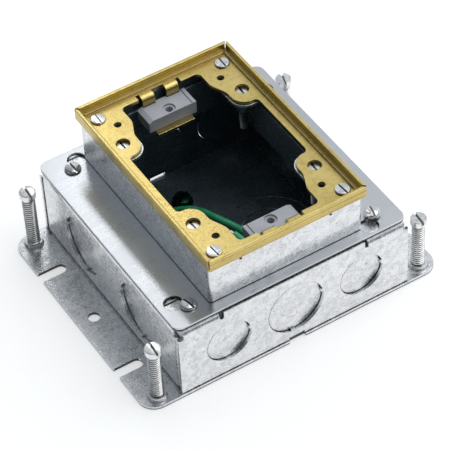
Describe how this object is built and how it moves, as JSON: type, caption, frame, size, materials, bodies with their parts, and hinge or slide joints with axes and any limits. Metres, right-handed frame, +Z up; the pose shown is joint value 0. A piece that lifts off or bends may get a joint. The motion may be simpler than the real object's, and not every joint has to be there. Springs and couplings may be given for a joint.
{
  "type": "floor socket box",
  "caption": "Adjustable steel floor box with knockouts, leveling screws, sliding riser and brass face ring for a wiring device.",
  "frame": {"origin": "middle of the underside of the base plate", "axes": "+Z up out of the floor; X across the short side of the face ring, towards the right flange; Y along the ring's long side, towards the back wall"},
  "size_m": [0.1524, 0.1212, 0.069],
  "materials": {
    "galvanised_steel": "spangled galvanised sheet",
    "zinc_plated_cover": "bright zinc plated",
    "galvanised_sleeve": "galvanised sheet",
    "bush_steel": "dark plated",
    "screw_steel": "bright zinc plated",
    "brass_plate": "satin brass",
    "grey_block": "moulded grey",
    "tinned_terminal": "tinned",
    "green_screw": "green dyed zinc",
    "green_insulation": "smooth insulation",
    "bare_copper": "bare copper"
  },
  "bodies": {
    "box": {"base_plate": "galvanised_steel", "side_wall_left": "galvanised_steel", "side_wall_right": "galvanised_steel", "end_wall_front": "galvanised_steel", "end_wall_back": "galvanised_steel", "cover_plate": "zinc_plated_cover", "fixed_sleeve": "galvanised_sleeve", "threaded_bushes": "bush_steel", "cover_screws": "screw_steel", "ground_terminal": "tinned_terminal", "ground_screw": "green_screw", "ground_wire": "green_insulation", "ground_wire_end": "bare_copper"},
    "riser": {"riser_collar": "galvanised_sleeve", "face_ring": "brass_plate", "ring_screws": "screw_steel", "device_block_back": "grey_block", "device_block_front": "grey_block"},
    "leveling_front_left": {"leveling_screw_front_left": "screw_steel"},
    "leveling_front_right": {"leveling_screw_front_right": "screw_steel"},
    "leveling_back_left": {"leveling_screw_back_left": "screw_steel"},
    "leveling_back_right": {"leveling_screw_back_right": "screw_steel"},
    "adjusting_front_left": {"adjusting_screw_front_left": "screw_steel"},
    "adjusting_front_right": {"adjusting_screw_front_right": "screw_steel"},
    "adjusting_back_left": {"adjusting_screw_back_left": "screw_steel"},
    "adjusting_back_right": {"adjusting_screw_back_right": "screw_steel"}
  },
  "joints": [
    {"name": "riser_slide", "type": "slide", "parent": "box", "child": "riser", "axis": [0, 0, 1], "range_m": [0, 0.0127]},
    {"name": "leveling_screw_front_left_feed", "type": "slide", "parent": "box", "child": "leveling_front_left", "axis": [0, 0, -1], "range_m": [0, 0.024]},
    {"name": "leveling_screw_front_right_feed", "type": "slide", "parent": "box", "child": "leveling_front_right", "axis": [0, 0, -1], "range_m": [0, 0.024]},
    {"name": "leveling_screw_back_left_feed", "type": "slide", "parent": "box", "child": "leveling_back_left", "axis": [0, 0, -1], "range_m": [0, 0.024]},
    {"name": "leveling_screw_back_right_feed", "type": "slide", "parent": "box", "child": "leveling_back_right", "axis": [0, 0, -1], "range_m": [0, 0.024]},
    {"name": "adjusting_screw_front_left_turn", "type": "hinge", "parent": "riser", "child": "adjusting_front_left", "pos_m": [-0.0307, -0.0292, 0.06], "axis": [0, 0, 1], "range_deg": [0, 5761]},
    {"name": "adjusting_screw_front_right_turn", "type": "hinge", "parent": "riser", "child": "adjusting_front_right", "pos_m": [0.0307, -0.0292, 0.06], "axis": [0, 0, 1], "range_deg": [0, 5761]},
    {"name": "adjusting_screw_back_left_turn", "type": "hinge", "parent": "riser", "child": "adjusting_back_left", "pos_m": [-0.0307, 0.0292, 0.06], "axis": [0, 0, 1], "range_deg": [0, 5761]},
    {"name": "adjusting_screw_back_right_turn", "type": "hinge", "parent": "riser", "child": "adjusting_back_right", "pos_m": [0.0307, 0.0292, 0.06], "axis": [0, 0, 1], "range_deg": [0, 5761]}
  ],
  "couplings": [
    {"joint": "adjusting_screw_front_left_turn", "follows": "riser_slide", "rad_per_m": 7915.8},
    {"joint": "adjusting_screw_front_right_turn", "follows": "riser_slide", "rad_per_m": 7915.8},
    {"joint": "adjusting_screw_back_left_turn", "follows": "riser_slide", "rad_per_m": 7915.8},
    {"joint": "adjusting_screw_back_right_turn", "follows": "riser_slide", "rad_per_m": 7915.8}
  ]
}
